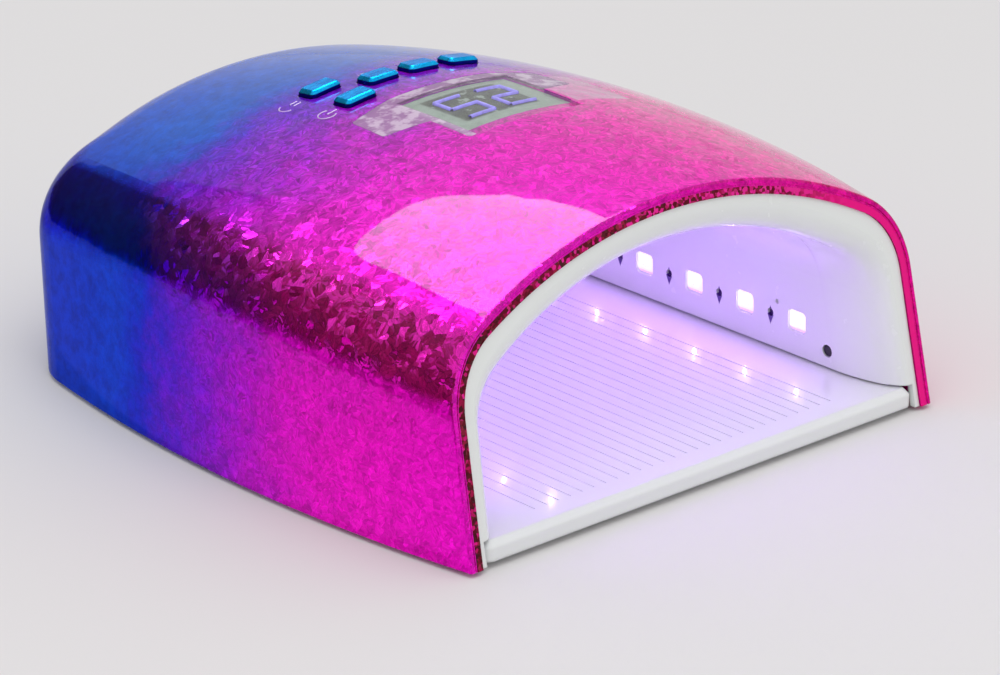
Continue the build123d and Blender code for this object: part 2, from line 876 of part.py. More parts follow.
# Frame that closes the casing underneath, open in the middle for the tray
crossbar_front = cavity_back + seat_gap
with BuildPart() as bottom_frame:
    add(slab(body_form(shell_wall + slide_gap, below), frame_front, 2 * body_depth))
    with BuildSketch(level_plane(frame_top)):
        Rectangle(2 * widest_width, 2 * body_depth)
    extrude(amount=2 * crown_height, mode=Mode.SUBTRACT)
    with BuildSketch(level_plane(2 * below)):
        Rectangle(2 * widest_width, 2 * body_depth)
    extrude(amount=frame_lift - 2 * below, mode=Mode.SUBTRACT)
    with BuildSketch(level_plane(below)):
        with Locations((0, back(crossbar_front / 2))):
            Rectangle(2 * (rail_outer_half + hole_gap), crossbar_front)
    extrude(amount=tray_top - below, mode=Mode.SUBTRACT)
    # crossbar behind the tray
    with BuildSketch(level_plane(frame_lift)):
        with Locations((0, back(crossbar_front + crossbar_depth / 2))):
            Rectangle(2 * (rail_outer_half - seat_gap), crossbar_depth)
    extrude(amount=tray_top - frame_lift)
    with BuildSketch(upright_plane(crossbar_front - cut_lead)):
        with Locations((-magnet_x, up(magnet_height)), (magnet_x, up(magnet_height))):
            Circle(magnet_radius + hole_gap)
    extrude(amount=magnet_length + cut_lead, mode=Mode.SUBTRACT)
    # standoffs for the power board
    with BuildSketch(level_plane(frame_top)):
        with Locations((0, back(board_middle_back))):
            with GridLocations(
                power_board_width - 2 * standoff_inset, power_board_depth - 2 * standoff_inset, 2, 2
            ):
                Circle(standoff_radius)
    extrude(amount=power_board_height - frame_top)
    # vents
    with BuildSketch(level_plane(frame_lift)):
        with Locations((0, back(board_middle_back))):
            with GridLocations(vent_pitch, 1, vent_count, 1):
                SlotOverall(vent_length, vent_width, rotation=90)
    extrude(amount=frame_thickness, mode=Mode.SUBTRACT)
    # pads under the liner's lugs
    lug_places = [(side * lug_x, back(liner_rear + crossbar_depth / 2)) for side in (-1, 1)]
    with BuildSketch(level_plane(frame_lift)):
        with Locations(*lug_places):
            Circle(boss_radius)
    extrude(amount=tray_top - frame_lift)
    # screw holes, sunk for the heads
    with BuildSketch(level_plane(frame_lift)):
        with Locations(*screw_places, *lug_places):
            Circle(casing_screw_radius + seat_gap)
    extrude(amount=tray_top, mode=Mode.SUBTRACT)
    with BuildSketch(level_plane(frame_lift)):
        with Locations(*screw_places, *lug_places):
            Circle(casing_screw_head_radius + seat_gap)
    extrude(amount=casing_screw_head_height, mode=Mode.SUBTRACT)
    # seats for the feet
    foot_places = [
        (side * x, back(distance))
        for x, distance in (
            (half_width(front_foot_back) - shell_wall - foot_radius - foot_margin, front_foot_back),
            (rear_foot_x, rear_foot_back),
        )
        for side in (-1, 1)
    ]
    with BuildSketch(level_plane(frame_lift)):
        with Locations(*foot_places):
            Circle(foot_radius + seat_gap)
    extrude(amount=foot_seat, mode=Mode.SUBTRACT)
bottom_frame.part.label = "bottom_frame"
export_step(bottom_frame.part, "parts/bottom_frame.step")

frame_magnets = magnet_pair(crossbar_front + seat_gap)
frame_magnets.label = "frame_magnets"
export_step(frame_magnets, "parts/frame_magnets.step")

with BuildPart() as rubber_feet:
    with BuildSketch(Plane.XY):
        with Locations(*foot_places):
            Circle(foot_radius)
    extrude(amount=up(frame_lift) + foot_seat - hole_gap)
    fillet(rubber_feet.edges().group_by(Axis.Z)[0], foot_round)
rubber_feet.part.label = "rubber_feet"
export_step(rubber_feet.part, "parts/rubber_feet.step")


def screw_group(places, under_head, length, radius, head_radius, head_height):
    """Screws standing upwards, with their heads below this height."""
    with BuildPart() as group:
        with BuildSketch(level_plane(under_head - head_height)):
            with Locations(*places):
                Circle(head_radius)
        extrude(amount=head_height)
        with BuildSketch(level_plane(under_head)):
            with Locations(*places):
                Circle(radius)
        extrude(amount=length)
        with BuildSketch(level_plane(under_head - head_height)):
            with Locations(*places):
                Rectangle(head_radius * recess_share, recess_width)
                Rectangle(recess_width, head_radius * recess_share)
        extrude(amount=head_height / 2, mode=Mode.SUBTRACT)
    return group.part


head_seat = frame_lift + casing_screw_head_height
casing_screws = screw_group(
    screw_places,
    head_seat,
    casing_screw_length - head_seat,
    casing_screw_radius,
    casing_screw_head_radius,
    casing_screw_head_height - hole_gap,
)
casing_screws.label = "casing_screws"
export_step(casing_screws, "parts/casing_screws.step")

liner_screws = screw_group(
    lug_places,
    head_seat,
    casing_screw_length - head_seat,
    casing_screw_radius,
    casing_screw_head_radius,
    casing_screw_head_height - hole_gap,
)
liner_screws.label = "liner_screws"
export_step(liner_screws, "parts/liner_screws.step")

# Rails that carry the tray's skirts
rail_length = cavity_back - rail_front
for name, side in (("tray_rail_left", -1), ("tray_rail_right", 1)):
    with BuildPart() as tray_rail:
        with BuildSketch(Plane.XZ.offset(-back(rail_front))):
            with BuildLine():
                Polyline(
                    (side * (channel_half - rail_lip), up(frame_lift)),
                    (side * rail_outer_half, up(frame_lift)),
                    (side * rail_outer_half, up(tray_top)),
                    (side * channel_half, up(tray_top)),
                    (side * channel_half, up(frame_lift + rail_lip_thickness)),
                    (side * (channel_half - rail_lip), up(frame_lift + rail_lip_thickness)),
                    close=True,
                )
            make_face()
        extrude(amount=-rail_length)
    tray_rail.part.label = name
    export_step(tray_rail.part, f"parts/{name}.step")

# Display: a panel in a holder that stands on the control board
panel_half_width = display_width / 2 + panel_border
panel_half_depth = display_depth / 2 + panel_border
panel_top = (
    crown_at(abs(display_x) + panel_half_width, display_back - panel_half_depth)
    - shell_wall
    - slide_gap
)
with BuildPart() as display_panel:
    with BuildSketch(level_plane(panel_top - panel_thickness)):
        with Locations((display_x, back(display_back))):
            Rectangle(2 * panel_half_width, 2 * panel_half_depth)
    extrude(amount=panel_thickness)
display_panel.part.label = "display_panel"
export_step(display_panel.part, "parts/display_panel.step")

# The tinted mask that carries the figures, right under the lens
with BuildPart() as display_mask:
    with BuildSketch(level_plane(crown_height / 2)):
        with Locations((display_x, back(display_back))):
            Rectangle(display_width - 2 * seat_gap, display_depth - 2 * seat_gap)
    extrude(amount=crown_height)
    add(body_form(lens_thickness + mask_gap), mode=Mode.INTERSECT)
    add(inner_void, mode=Mode.SUBTRACT)
display_mask.part.label = "display_mask"
export_step(display_mask.part, "parts/display_mask.step")

with BuildPart() as display_holder:
    with BuildSketch(level_plane(board_top)):
        with Locations((display_x, back(display_back))):
            Rectangle(2 * (panel_half_width - holder_inset), 2 * (panel_half_depth - holder_inset))
            Rectangle(
                2 * (panel_half_width - holder_inset - holder_wall),
                2 * (panel_half_depth - holder_inset - holder_wall),
                mode=Mode.SUBTRACT,
            )
    extrude(amount=panel_top - panel_thickness - board_top)
display_holder.part.label = "display_holder"
export_step(display_holder.part, "parts/display_holder.step")

control_board_middle = (control_board_front + control_board_rear) / 2
with BuildPart() as control_board:
    with BuildSketch(level_plane(control_board_height)):
        with Locations((0, back(control_board_middle))):
            Rectangle(
                2 * control_board_half_width, control_board_rear - control_board_front
            )
        with Locations(*post_places):
            Circle(board_screw_shank_radius + seat_gap, mode=Mode.SUBTRACT)
    extrude(amount=board_thickness)
control_board.part.label = "control_board"
export_step(control_board.part, "parts/control_board.step")

with BuildPart() as control_chips:
    with BuildSketch(level_plane(board_top)):
        for x, distance, width, depth in chip_places:
            with Locations((x, back(row_back + distance))):
                Rectangle(width, depth)
    extrude(amount=chip_height)
control_chips.part.label = "control_chips"
export_step(control_chips.part, "parts/control_chips.step")

board_screws = screw_group(
    post_places,
    control_board_height - hole_gap,
    board_screw_length,
    board_screw_shank_radius,
    board_screw_head_radius,
    board_screw_head_height,
)
board_screws.label = "board_screws"
export_step(board_screws, "parts/board_screws.step")

switch_places = [(x, back(distance)) for x, distance in buttons.values()]
with BuildPart() as button_switches:
    with BuildSketch(level_plane(board_top)):
        with Locations(*switch_places):
            Rectangle(switch_side, switch_side)
    extrude(amount=switch_height)
    with BuildSketch(level_plane(switch_top - switch_bore_depth)):
        with Locations(*switch_places):
            Circle(plunger_radius + hole_gap)
    extrude(amount=switch_bore_depth, mode=Mode.SUBTRACT)
button_switches.part.label = "button_switches"
export_step(button_switches.part, "parts/button_switches.step")

# Buttons: each cap follows the crown, with a flange inside the casing and a stem to its switch
for name, (x, distance) in buttons.items():
    reach_x = abs(x) + button_width / 2 + button_flange
    reach_back = distance + button_depth / 2 + button_flange
    flange_low = crown_at(reach_x, reach_back) - shell_wall - 2 * slide_gap - button_flange_thickness
    with BuildPart() as cap:
        with BuildSketch(level_plane(flange_low)):
            with Locations((x, back(distance))):
                RectangleRounded(button_width, button_depth, button_corner)
        extrude(amount=crown_height)
        add(button_skin, mode=Mode.INTERSECT)
        chamfer(cap.faces().sort_by(Axis.Z)[-1].edges(), button_bevel)
    with BuildPart() as flange:
        with BuildSketch(level_plane(flange_low)):
            with Locations((x, back(distance))):
                RectangleRounded(
                    button_width + 2 * button_flange,
                    button_depth + 2 * button_flange,
                    button_corner,
                )
        extrude(amount=crown_height)
        add(flange_skin, mode=Mode.INTERSECT)
    with BuildPart() as button:
        add(cap.part)
        add(flange.part)
        with BuildSketch(level_plane(switch_top + plunger_stand)):
            with Locations((x, back(distance))):
                Circle(stem_radius)
        extrude(amount=flange_low - switch_top - plunger_stand)
    button.part.label = f"{name}_button"
    export_step(button.part, f"parts/{name}_button.step")

    with BuildPart() as plunger:
        with BuildSketch(level_plane(switch_top - plunger_seat)):
            with Locations((x, back(distance))):
                Circle(plunger_radius)
        extrude(amount=plunger_seat + plunger_stand)
    plunger.part.label = f"{name}_plunger"
    export_step(plunger.part, f"parts/{name}_plunger.step")

# Battery: four cells in a cradle behind the liner
cell_radius = cell_diameter / 2
cradle_front = cavity_back + board_out + led_board_thickness + spreader_thickness + slide_gap
cell_back = cradle_front + cradle_wall + cell_gap + cell_radius
cradle_half_width = cell_length + cell_gap * 1.5 + cradle_wall
cradle_depth = 2 * (cradle_wall + cell_gap + cell_radius)
cell_x = cell_length / 2 + cell_gap / 2
low_cell = cradle_floor_height + cradle_wall + cell_gap / 2 + cell_radius
high_cell = low_cell + cell_diameter + cell_gap
side_plane = Plane(origin=(0, 0, 0), x_dir=(0, 1, 0), z_dir=(1, 0, 0))
with BuildPart() as battery_cells:
    for x in (-cell_x, cell_x):
        with BuildSketch(side_plane.offset(x - cell_length / 2)):
            with Locations((back(cell_back), up(low_cell)), (back(cell_back), up(high_cell))):
                Circle(cell_radius)
        extrude(amount=cell_length)
battery_cells.part.label = "battery_cells"
export_step(battery_cells.part, "parts/battery_cells.step")

with BuildPart() as battery_cradle:
    with BuildSketch(level_plane(cradle_floor_height)):
        with Locations((0, back(cell_back))):
            Rectangle(2 * cradle_half_width, cradle_depth)
    extrude(amount=cradle_height)
    with BuildSketch(level_plane(cradle_floor_height + cradle_wall)):
        with Locations((0, back(cell_back))):
            Rectangle(
                2 * (cradle_half_width - cradle_wall), cradle_depth - 2 * cradle_wall
            )
    extrude(amount=cradle_height, mode=Mode.SUBTRACT)
    with BuildSketch(level_plane(frame_top)):
        with Locations((0, back(cell_back))):
            with GridLocations(
                2 * cradle_half_width - cradle_leg, cradle_depth - cradle_leg, 2, 2
            ):
                Rectangle(cradle_leg, cradle_leg)
    extrude(amount=cradle_floor_height - frame_top)
battery_cradle.part.label = "battery_cradle"
export_step(battery_cradle.part, "parts/battery_cradle.step")

# Strap over the cells, and the metal links at their ends
strap_top = high_cell + cell_radius + seat_gap
strap_low = cradle_floor_height + cradle_height - strap_overlap
strap_span = cradle_depth + 2 * seat_gap
strap_rise = strap_top - strap_low
with BuildPart() as battery_strap:
    with BuildSketch(side_plane.offset(cell_x - strap_width / 2)):
        with Locations((back(cell_back), up(strap_low + (strap_rise + strap_thickness) / 2))):
            Rectangle(strap_span + 2 * strap_thickness, strap_rise + strap_thickness)
        with Locations((back(cell_back), up(strap_low + strap_rise / 2))):
            Rectangle(strap_span, strap_rise, mode=Mode.SUBTRACT)
    extrude(amount=strap_width)
    mirror(about=Plane.YZ)
battery_strap.part.label = "battery_strap"
export_step(battery_strap.part, "parts/battery_strap.step")

with BuildPart() as cell_links:
    link_gap = (cell_gap - link_thickness) / 2
    link_x = cell_length + (cell_gap + link_thickness) / 2 + link_gap
    for x in (-link_x, 0.0, link_x):
        with BuildSketch(side_plane.offset(x - link_thickness / 2)):
            with Locations((back(cell_back), up((low_cell + high_cell) / 2))):
                SlotCenterToCenter(high_cell - low_cell, link_width, rotation=90)
        extrude(amount=link_thickness)
cell_links.part.label = "cell_links"
export_step(cell_links.part, "parts/cell_links.step")

# Power board on the frame's standoffs, and what stands on it
with BuildPart() as power_board:
    with BuildSketch(level_plane(power_board_height)):
        with Locations((0, back(board_middle_back))):
            Rectangle(power_board_width, power_board_depth)
    extrude(amount=board_thickness)
power_board.part.label = "power_board"
export_step(power_board.part, "parts/power_board.step")

with BuildPart() as power_components:
    with BuildSketch(level_plane(power_board_top)):
        for x, distance, radius in can_places:
            with Locations((x, back(board_middle_back + distance))):
                Circle(radius)
        for x, distance, width, depth in block_places:
            with Locations((x, back(board_middle_back + distance))):
                Rectangle(width, depth)
    extrude(amount=component_height)
power_components.part.label = "power_components"
export_step(power_components.part, "parts/power_components.step")

with BuildPart() as dc_jack:
    with BuildSketch(upright_plane(jack_rear - jack_length)):
        with Locations((0, up(power_board_top + jack_height / 2))):
            Rectangle(jack_width, jack_height)
    extrude(amount=jack_length)
    with BuildSketch(upright_plane(jack_rear)):
        with Locations((0, up(jack_z))):
            Circle(nose_radius)
    extrude(amount=nose_length)
    with BuildSketch(upright_plane(jack_rear + nose_length)):
        with Locations((0, up(jack_z))):
            Circle(jack_bore_radius)
    extrude(amount=-jack_bore_depth, mode=Mode.SUBTRACT)
    with BuildSketch(upright_plane(jack_rear - jack_length + jack_pin_seat)):
        with Locations((0, up(jack_z))):
            Circle(jack_pin_radius + hole_gap)
    extrude(amount=jack_length, mode=Mode.SUBTRACT)
dc_jack.part.label = "dc_jack"
export_step(dc_jack.part, "parts/dc_jack.step")

with BuildPart() as jack_pin:
    with BuildSketch(upright_plane(jack_rear - jack_length + jack_pin_seat)):
        with Locations((0, up(jack_z))):
            Circle(jack_pin_radius)
    extrude(amount=jack_length - jack_pin_seat)
    fillet(jack_pin.edges().sort_by(Axis.Y)[-1], jack_pin_round)
jack_pin.part.label = "jack_pin"
export_step(jack_pin.part, "parts/jack_pin.step")

# Flat cable from the control board, over the back of the liner and down to the power board
cable_back = cell_back + cradle_depth / 2 + strap_thickness + cable_gap
cable_high = control_board_height + board_thickness / 2
cable_low = power_board_height + board_thickness / 2
with BuildPart() as control_cable:
    with BuildLine() as cable_route:
        FilletPolyline(
            (cable_x, back(control_board_rear + seat_gap), up(cable_high)),
            (cable_x, back(cable_turn_back), up(cable_high)),
            (cable_x, back(cable_back), up(cable_turn_height)),
            (cable_x, back(cable_back), up(cable_low)),
            radius=cable_bend,
        )
    with BuildSketch(upright_plane(control_board_rear + seat_gap)):
        with Locations((-cable_x, up(cable_high))):
            Rectangle(cable_width, cable_thickness)
    sweep()
control_cable.part.label = "control_cable"
export_step(control_cable.part, "parts/control_cable.step")

# Two leads from the cells to the power board, round the end of the cradle
with BuildPart() as battery_leads:
    for shift in (0.0, lead_spacing):
        with BuildLine() as lead_route:
            FilletPolyline(
                (-lead_x, back(cell_back - shift), up(lead_height)),
                (-lead_x, back(cell_back - shift), up(cable_low + shift / 2)),
                (-power_board_width / 2 - seat_gap, back(cell_back - shift), up(cable_low + shift / 2)),
                radius=lead_bend,
            )
        with BuildSketch(level_plane(lead_height)):
            with Locations((-lead_x, back(cell_back - shift))):
                Circle(lead_radius)
        sweep()
battery_leads.part.label = "battery_leads"
export_step(battery_leads.part, "parts/battery_leads.step")
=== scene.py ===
import json
import math

import bpy
from mathutils import Euler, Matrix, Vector
from mathutils.bvhtree import BVHTree


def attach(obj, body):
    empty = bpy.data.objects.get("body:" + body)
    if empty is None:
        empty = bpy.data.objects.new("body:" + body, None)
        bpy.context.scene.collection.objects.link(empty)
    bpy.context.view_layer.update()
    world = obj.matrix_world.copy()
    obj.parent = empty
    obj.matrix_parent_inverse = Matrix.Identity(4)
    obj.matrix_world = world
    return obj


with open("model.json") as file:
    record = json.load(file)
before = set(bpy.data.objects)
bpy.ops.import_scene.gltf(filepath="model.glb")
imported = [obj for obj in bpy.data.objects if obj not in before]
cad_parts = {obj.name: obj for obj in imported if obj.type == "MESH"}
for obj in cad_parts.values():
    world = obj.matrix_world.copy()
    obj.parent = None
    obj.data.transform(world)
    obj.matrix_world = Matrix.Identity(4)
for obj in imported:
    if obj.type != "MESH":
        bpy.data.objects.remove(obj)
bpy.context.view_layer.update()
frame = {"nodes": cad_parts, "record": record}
nodes = frame["nodes"]
slot_of = {row["node"]: row["material_slot"] for row in frame["record"]["subparts"]}

# Measures of the CAD model that the materials and marks follow, in metres
front_y = -0.1235
table_gap = 0.0012
body_depth = 0.247
first_light = 0.0454
light_pitch = 0.0243
side_light_height = 0.0197
side_screw_height = 0.0187
rear_light_height = 0.0320


def behind(distance):
    """The Y of a place this far behind the lamp's front bottom edge."""
    return front_y + distance


# Materials


class Paint:
    """A node material in the making: each method adds a node and returns its output."""

    def __init__(self, name):
        self.material = bpy.data.materials.new(name)
        self.material.use_nodes = True
        self.tree = self.material.node_tree
        self.tree.nodes.clear()
        self.out = self.tree.nodes.new("ShaderNodeOutputMaterial")
        self.place = self.add("ShaderNodeTexCoord").outputs["Object"]

    def add(self, kind, **settings):
        node = self.tree.nodes.new(kind)
        for key, value in settings.items():
            setattr(node, key, value)
        return node

    def set(self, node, **inputs):
        """Link or write a node's inputs, given by name (Base_Color) or by number (_0)."""
        for key, value in inputs.items():
            socket = node.inputs[int(key[1:]) if key[0] == "_" else key.replace("_", " ")]
            if isinstance(value, bpy.types.NodeSocket):
                self.tree.links.new(value, socket)
            else:
                socket.default_value = value
        return node

    def math(self, operation, a, b=0.0):
        node = self.add("ShaderNodeMath", operation=operation)
        return self.set(node, _0=a, _1=b).outputs[0]

    def plus(self, a, b):
        return self.math("ADD", a, b)

    def minus(self, a, b):
        return self.math("SUBTRACT", a, b)

    def times(self, first, *others):
        product = first
        for factor in others:
            product = self.math("MULTIPLY", product, factor)
        return product

    def away(self, a, b):
        """How far a is from b, on either side."""
        return self.math("ABSOLUTE", self.minus(a, b))

    def within(self, distance, start, end):
        """1 up to start, falling to 0 at end."""
        return self.map(distance, start, end, 1.0, 0.0)

    def vector(self, operation, a, b=(0, 0, 0)):
        node = self.add("ShaderNodeVectorMath", operation=operation)
        return self.set(node, _0=a, _1=b).outputs[0]

    def scale(self, a, factor):
        node = self.add("ShaderNodeVectorMath", operation="SCALE")
        return self.set(node, _0=a, _3=factor).outputs[0]

    def axes(self, a=None):
        """The three parts of a vector or colour, or of the place on the object."""
        return self.set(self.add("ShaderNodeSeparateXYZ"), _0=a or self.place).outputs

    def map(self, value, low, high, to_low=0.0, to_high=1.0, smooth=False):
        kind = "SMOOTHSTEP" if smooth else "LINEAR"
        node = self.add("ShaderNodeMapRange", interpolation_type=kind)
        return self.set(node, _0=value, _1=low, _2=high, _3=to_low, _4=to_high).outputs[0]

    def noise(self, size, detail=2.0, place=None, rough=0.5, color=False):
        node = self.set(
            self.add("ShaderNodeTexNoise"),
            Vector=place or self.place,
            Scale=1 / size,
            Detail=detail,
            Roughness=rough,
        )
        return node.outputs["Color" if color else "Fac"]

    def cells(self, size, place=None, feature="F1"):
        node = self.add("ShaderNodeTexVoronoi", feature=feature)
        return self.set(node, Vector=place or self.place, Scale=1 / size).outputs

    def ramp(self, factor, *stops):
        node = self.set(self.add("ShaderNodeValToRGB"), Fac=factor)
        points = node.color_ramp.elements
        while len(points) < len(stops):
            points.new(1.0)
        for point, (position, color) in zip(points, stops):
            point.position = position
            point.color = (*color, 1)
        return node.outputs["Color"]

    def mix(self, factor, a, b, blend="MIX"):
        node = self.add("ShaderNodeMix", data_type="RGBA", blend_type=blend)
        return self.set(node, _0=factor, _6=a, _7=b).outputs[2]

    def bump(self, height, distance, strength=1.0):
        node = self.add("ShaderNodeBump")
        return self.set(node, Height=height, Distance=distance, Strength=strength).outputs[0]

    def true_normal(self):
        return self.add("ShaderNodeNewGeometry").outputs["Normal"]

    def soft_edge(self, radius, **inputs):
        """A normal that rounds sharp edges by this radius, in the shading only."""
        node = self.add("ShaderNodeBevel", samples=6)
        return self.set(node, Radius=radius, **inputs).outputs[0]

    def leaning(self, normal, lean):
        """The normal turned by a vector added to it."""
        return self.vector("NORMALIZE", self.vector("ADD", normal, lean))

    def lean_of(self, color):
        """A random colour as a vector about zero."""
        return self.vector("SUBTRACT", color, grey(0.5))

    def bend(self, size, reach):
        """The place, pushed about unevenly, so that cells lose their straight sides."""
        return self.vector("ADD", self.place, self.scale(self.noise(size, 2, color=True), reach))

    def surface(self, **inputs):
        return self.set(self.add("ShaderNodeBsdfPrincipled"), **inputs).outputs[0]

    def finish(self, shader):
        self.tree.links.new(shader, self.out.inputs["Surface"])
        return self.material


def rgb(*color):
    return (*color, 1.0)


def grey(level):
    return (level, level, level)


def moulded(name, color, rough=0.4, metal=0.0, vary=0.08, grain=0.0004, depth=0.00002, coat=0.0):
    """A plain part's finish: slightly uneven colour and gloss over a fine grain."""
    p = Paint(name)
    cloud = p.noise(0.02, 4)
    dark = tuple(c * (1 - vary) for c in color)
    light = tuple(min(1.0, c * (1 + vary)) for c in color)
    shade = p.mix(cloud, rgb(*dark), rgb(*light))
    gloss = p.map(p.noise(0.004, 3), 0.3, 0.7, rough * 0.85, min(1.0, rough * 1.15))
    grainy = p.bump(p.noise(grain, 2), depth)
    return p.finish(
        p.surface(
            Base_Color=shade, Roughness=gloss, Metallic=metal, Normal=grainy,
            Coat_Weight=coat, Coat_Roughness=0.04,
        )
    )


def shell_gloss():
    """Crackled foil under a clear gloss coat, from magenta at the front to blue at the back."""
    p = Paint("shell_gloss")
    x, y = p.axes()[:2]
    normal = p.true_normal()
    upward = p.axes(normal)[2]
    facing_up = p.map(upward, 0.80, 0.93)
    round_shoulder = p.times(p.map(upward, 0.15, 0.35), p.within(upward, 0.75, 0.9))
    # share of the way from front to back, with a cloudy front between the colours
    upper = p.map(upward, 0.3, 0.85, smooth=True)
    drift = p.minus(p.noise(0.035, 4, rough=0.6), 0.5)
    fine_drift = p.minus(p.noise(0.004, 3), 0.5)
    along = p.plus(y, p.times(drift, 0.050))
    along = p.plus(along, p.times(fine_drift, 0.016))
    along = p.minus(along, p.times(upper, 0.024))
    share = p.map(along, behind(0), behind(body_depth))
    tint = p.ramp(
        share,
        (0.0, (1.0, 0.004, 0.66)),
        (0.18, (0.92, 0.006, 0.60)),
        (0.30, (0.76, 0.005, 0.60)),
        (0.37, (0.58, 0.005, 0.62)),
        (0.43, (0.38, 0.005, 0.66)),
        (0.49, (0.22, 0.006, 0.66)),
        (0.55, (0.11, 0.012, 0.64)),
        (0.60, (0.030, 0.026, 0.62)),
        (0.64, (0.004, 0.044, 0.60)),
        (0.70, (0.001, 0.062, 0.60)),
        (0.86, (0.001, 0.060, 0.60)),
        (1.0, (0.001, 0.030, 0.50)),
    )
    cyan = p.times(p.map(upward, 0.84, 0.93), p.map(share, 0.54, 0.62))
    cyan = p.times(cyan, p.map(share, 0.66, 0.85, 0.75, 0.2))
    tint = p.mix(cyan, tint, rgb(0.002, 0.13, 0.62))
    rosy = p.times(p.map(x, -0.03, 0.06), p.map(share, 0.3, 0.5, 1.0, 0.0))
    tint = p.mix(rosy, tint, rgb(1.0, 0.004, 0.40))
    # the shoulder is a little more crimson; its trace of green is raised by the same step
    crimson = p.mix(1.0, tint, rgb(0.92, 5.0, 0.82), "MULTIPLY")
    tint = p.mix(p.times(round_shoulder, p.within(share, 0.45, 0.6)), tint, crimson)
    # how far the flakes lean: little on the walls, most round the shoulder; calm at the back
    crisp = p.map(share, 0.44, 0.68, 1.0, 0.12, smooth=True)
    shoulder = p.ramp(
        upward,
        (0.0, grey(0.30)),
        (0.16, grey(0.36)),
        (0.36, grey(1.0)),
        (0.78, grey(0.95)),
        (0.92, grey(0.42)),
        (1.0, grey(0.34)),
    )
    # flakes, each with its own lean and its own grain of fine streaks
    flake_size, shard_size, streak_size = 0.0034, 0.00075, 0.00055
    bent = p.bend(0.004, 0.0024)
    flake = p.cells(flake_size, bent)
    flake_edge = p.cells(flake_size, bent, feature="DISTANCE_TO_EDGE")[0]
    turned = p.add("ShaderNodeVectorRotate", rotation_type="AXIS_ANGLE")
    angle = p.times(p.axes(flake["Color"])[0], 6.283)
    p.set(turned, Vector=bent, Axis=(-0.45, -0.25, 0.86), Angle=angle)
    long = p.vector("MULTIPLY", turned.outputs[0], (1.0, 0.22, 0.6))
    shard = p.cells(shard_size, long)
    streak = p.noise(streak_size, 3, place=long, rough=0.6)
    lean_big, lean_small = p.lean_of(flake["Color"]), p.lean_of(shard["Color"])
    lean = p.vector("ADD", p.scale(lean_big, 0.50), p.scale(lean_small, 0.38))
    lean = p.scale(lean, p.times(crisp, shoulder))
    # shade of each flake and shard, with thin cracks here and there
    depth = p.map(p.axes(shard["Color"])[1], 0.0, 1.0, 0.72, 1.10)
    depth = p.times(depth, p.map(p.axes(flake["Color"])[2], 0.0, 1.0, 0.84, 1.08))
    depth = p.times(depth, p.map(streak, 0.3, 0.7, 0.78, 1.16))
    cracked = p.times(p.map(p.noise(0.008, 2), 0.48, 0.6), round_shoulder)
    open_crack = p.times(p.map(flake_edge, 0.0, 0.05, 0.45, 0.0), cracked)
    depth = p.times(depth, p.minus(1.0, open_crack))
    # on the crown the shards differ more, except near the front
    deeper = p.map(p.axes(shard["Color"])[2], 0.2, 0.8, 0.70, 1.22)
    middle = p.times(p.map(share, 0.12, 0.3, 0.45, 1.0), facing_up)
    even = p.times(p.minus(1.0, deeper), middle)
    depth = p.times(depth, p.minus(1.0, even))
    calm = p.map(p.noise(0.005, 5, rough=0.75), 0.32, 0.68, 0.66, 1.20)
    blend = p.add("ShaderNodeMix", data_type="FLOAT")
    p.set(blend, _0=crisp, _2=calm, _3=depth)
    color = p.mix(1.0, tint, blend.outputs[0], "MULTIPLY")
    # the frosted film at the display's right reaches a little past the lens
    film_x = p.within(p.away(x, 0.0380), 0.0112, 0.0122)
    film_y = p.within(p.away(y, behind(0.1065)), 0.0145, 0.0155)
    cloudy = p.map(p.noise(0.007, 3), 0.4, 0.6, 0.5, 0.8)
    film = p.times(p.times(film_x, film_y), p.times(facing_up, cloudy))
    color = p.mix(film, color, rgb(0.62, 0.36, 0.54))
    # like a mirror round the shoulder, mostly plain colour on the crown and half on the walls
    mirror = p.ramp(
        upward,
        (0.0, grey(0.45)),
        (0.12, grey(0.60)),
        (0.25, grey(1.0)),
        (0.80, grey(1.0)),
        (0.90, grey(0.10)),
        (0.96, grey(0.035)),
        (1.0, grey(0.03)),
    )
    coat = p.times(p.map(upward, 0.2, 0.6, 0.4, 1.0), p.map(share, 0.5, 0.75, 1.0, 0.6))
    return p.finish(
        p.surface(
            Base_Color=color, Metallic=mirror, Roughness=0.22, Normal=p.leaning(normal, lean),
            IOR=1.1, Specular_Tint=color, Coat_Weight=coat, Coat_Roughness=0.02, Coat_IOR=1.2,
            Coat_Normal=p.soft_edge(0.0011),
        )
    )


def trim_crackle():
    """The narrow faceted strip round the opening: dark crimson chips, pinker to the right."""
    p = Paint("trim_crackle")
    x = p.axes()[0]
    chip = p.cells(0.0012, p.bend(0.003, 0.001))
    right = p.map(x, 0.045, 0.075)
    lean = p.scale(p.lean_of(chip["Color"]), p.minus(0.7, p.times(right, 0.6)))
    pick = p.plus(p.axes(chip["Color"])[1], p.map(x, -0.08, 0.06, 0.0, 0.42))
    color = p.ramp(
        pick,
        (0.0, (0.05, 0.0, 0.006)),
        (0.5, (0.13, 0.0, 0.012)),
        (0.8, (0.38, 0.0, 0.06)),
        (0.95, (0.80, 0.01, 0.26)),
        (1.0, (0.90, 0.02, 0.34)),
    )
    color = p.mix(right, color, rgb(0.95, 0.0, 0.26))
    return p.finish(
        p.surface(
            Base_Color=color, Metallic=0.6, Roughness=0.25, Normal=p.leaning(p.true_normal(), lean),
            Specular_Tint=color, Coat_Weight=1.0, Coat_Roughness=0.03, Coat_IOR=1.2,
        )
    )


def repeated(p, distance, pitch):
    """Distance from the nearest of a row of places, the first of them at 0."""
    turns = p.plus(p.math("DIVIDE", distance, pitch), 20.5)
    return p.times(p.minus(p.math("FRACT", turns), 0.5), pitch)


